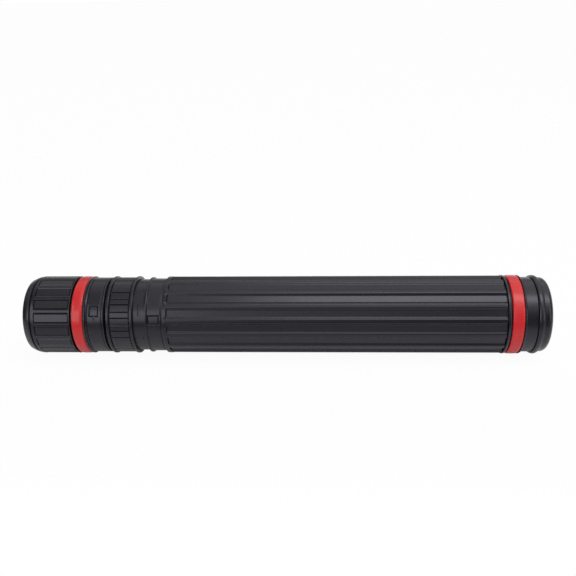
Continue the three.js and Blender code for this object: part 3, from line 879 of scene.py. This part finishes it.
def floor():
    size = 40.0
    mesh = bpy.data.meshes.new("floor")
    corners = [(-size, -size, 0), (size, -size, 0), (size, size, 0), (-size, size, 0)]
    mesh.from_pydata(corners, [], [(0, 1, 2, 3)])
    obj = bpy.data.objects.new("floor", mesh)
    bpy.context.scene.collection.objects.link(obj)
    material, tree, shader = new_material("floor")
    coordinates = tree.nodes.new("ShaderNodeTexCoord")
    split = tree.nodes.new("ShaderNodeSeparateXYZ")
    tree.links.new(coordinates.outputs["Object"], split.inputs["Vector"])
    near = mapped(tree, split.outputs["Y"], 0.0, 1.0, (FLOOR_GREY_Y, FLOOR_PALE_Y))
    colour = mixed(tree, near, FLOOR_GREY, FLOOR_PALE)
    tree.links.new(colour, shader.inputs["Base Color"])
    shader.inputs["Roughness"].default_value = 0.9
    output = tree.nodes["Material Output"]
    path = tree.nodes.new("ShaderNodeLightPath")
    white = tree.nodes.new("ShaderNodeEmission")
    white.inputs["Color"].default_value = (1, 1, 1, 1)
    white.inputs["Strength"].default_value = 1.0
    mix = tree.nodes.new("ShaderNodeMixShader")
    shown = mapped(tree, near, 1.0, FLOOR_WHITE, (0.0, 1.0))
    shown = math_node(tree, "MULTIPLY", shown, path.outputs["Is Camera Ray"])
    mirrored = math_node(tree, "MULTIPLY", near, path.outputs["Is Glossy Ray"])
    mirrored = math_node(tree, "MULTIPLY", mirrored, FLOOR_MIRRORED)
    tree.links.new(math_node(tree, "MAXIMUM", shown, mirrored), mix.inputs["Fac"])
    tree.links.new(shader.outputs["BSDF"], mix.inputs[1])
    tree.links.new(white.outputs["Emission"], mix.inputs[2])
    tree.links.new(mix.outputs["Shader"], output.inputs["Surface"])
    mesh.materials.append(material)


FLOOR_WHITE = 0.95
FLOOR_MIRRORED = 0.2
FLOOR_PALE = (0.86, 0.86, 0.86)
FLOOR_GREY = (0.14, 0.14, 0.14)
FLOOR_PALE_Y = -0.05
FLOOR_GREY_Y = -0.30


def math_node(tree, operation, first, second):
    node = tree.nodes.new("ShaderNodeMath")
    node.operation = operation
    for socket, value in zip(node.inputs, (first, second)):
        if isinstance(value, (int, float)):
            socket.default_value = value
        else:
            tree.links.new(value, socket)
    return node.outputs[0]


def world():
    """Pale sky that is darker low in front, and white behind the object for the camera."""
    scene_world = bpy.data.worlds.new("world")
    bpy.context.scene.world = scene_world
    scene_world.use_nodes = True
    tree = scene_world.node_tree
    background = tree.nodes["Background"]
    background.inputs["Color"].default_value = (1, 1, 1, 1)
    coordinates = tree.nodes.new("ShaderNodeTexCoord")
    split = tree.nodes.new("ShaderNodeSeparateXYZ")
    tree.links.new(coordinates.outputs["Generated"], split.inputs["Vector"])
    rise = mapped(tree, split.outputs["Z"], 0.0, 1.0, (0.20, 0.77))
    rise = math_node(tree, "MULTIPLY", rise, rise)
    front = mapped(tree, rise, SKY_LOW, SKY_HIGH, (0.0, 1.0))
    side = mapped(tree, split.outputs["X"], SKY_LEFT, 1.0, (-0.32, -0.12))
    front = math_node(tree, "MULTIPLY", front, side)
    glow = mapped(tree, split.outputs["Z"], GLOW, 0.0, (0.56, 0.80))
    right_fade = mapped(tree, split.outputs["X"], 1.0, 0.0, (-0.20, 0.30))
    left_fade = mapped(tree, split.outputs["X"], 0.0, 1.0, (-0.92, -0.80))
    glow = math_node(tree, "MULTIPLY", glow, math_node(tree, "MULTIPLY", right_fade, left_fade))
    front = math_node(tree, "ADD", front, glow)
    dip = mapped(tree, split.outputs["Z"], 0.0, SKY_DIP, (0.10, 0.20))
    dip = math_node(tree, "MULTIPLY", dip, mapped(tree, split.outputs["Z"], 1.0, 0.0, (0.48, 0.62)))
    behind = math_node(tree, "SUBTRACT", 1.0, dip)
    behind_side = mapped(tree, split.outputs["X"], 0.75 * SKY_BACK, 1.15 * SKY_BACK, (-0.35, 0.0))
    behind = math_node(tree, "MULTIPLY", behind, behind_side)
    back = mapped(tree, split.outputs["Y"], 0.0, 1.0, (-0.05, 0.40))
    level = tree.nodes.new("ShaderNodeMix")
    tree.links.new(back, level.inputs["Factor"])
    tree.links.new(front, level.inputs["A"])
    tree.links.new(behind, level.inputs["B"])
    level = level.outputs["Result"]
    path = tree.nodes.new("ShaderNodeLightPath")
    shown = math_node(tree, "MAXIMUM", level, path.outputs["Is Camera Ray"])
    tree.links.new(shown, background.inputs["Strength"])


SKY_LOW = 0.12
SKY_HIGH = 1.40
SKY_LEFT = 0.2
SKY_BACK = 0.85
SKY_DIP = 0.60
GLOW = 0.60


def softbox(name, place_at, target, size, radiance):
    data = bpy.data.lights.new(name, "AREA")
    data.shape = "RECTANGLE"
    data.size, data.size_y = size
    data.energy = radiance * math.pi * size[0] * size[1]
    obj = bpy.data.objects.new(name, data)
    bpy.context.scene.collection.objects.link(obj)
    obj.location = place_at
    aim = Vector(target) - Vector(place_at)
    obj.rotation_euler = aim.to_track_quat("-Z", "Y").to_euler()
    return obj


floor()
world()
AXIS_POINT = (0.0, 0.0, AXIS_Z * MM)
softbox("overhead_softbox", (0.68, -0.36, 1.10), (0.68, 0.0, 0.05), (1.56, 0.42), 2.6)
softbox("front_left_softbox", (-1.12, -2.00, 0.83), (-1.12, 0.0, 0.83), (1.0, 1.4), 1.7)
softbox("left_softbox", (-2.05, -1.51, 1.15), (-0.31, 0.0, 1.15), (1.06, 2.2), 1.8)
softbox("right_softbox", (1.89, -1.23, 0.75), (0.31, 0.0, 0.75), (1.05, 1.4), 1.5)

bpy.context.scene.view_settings.view_transform = "Standard"
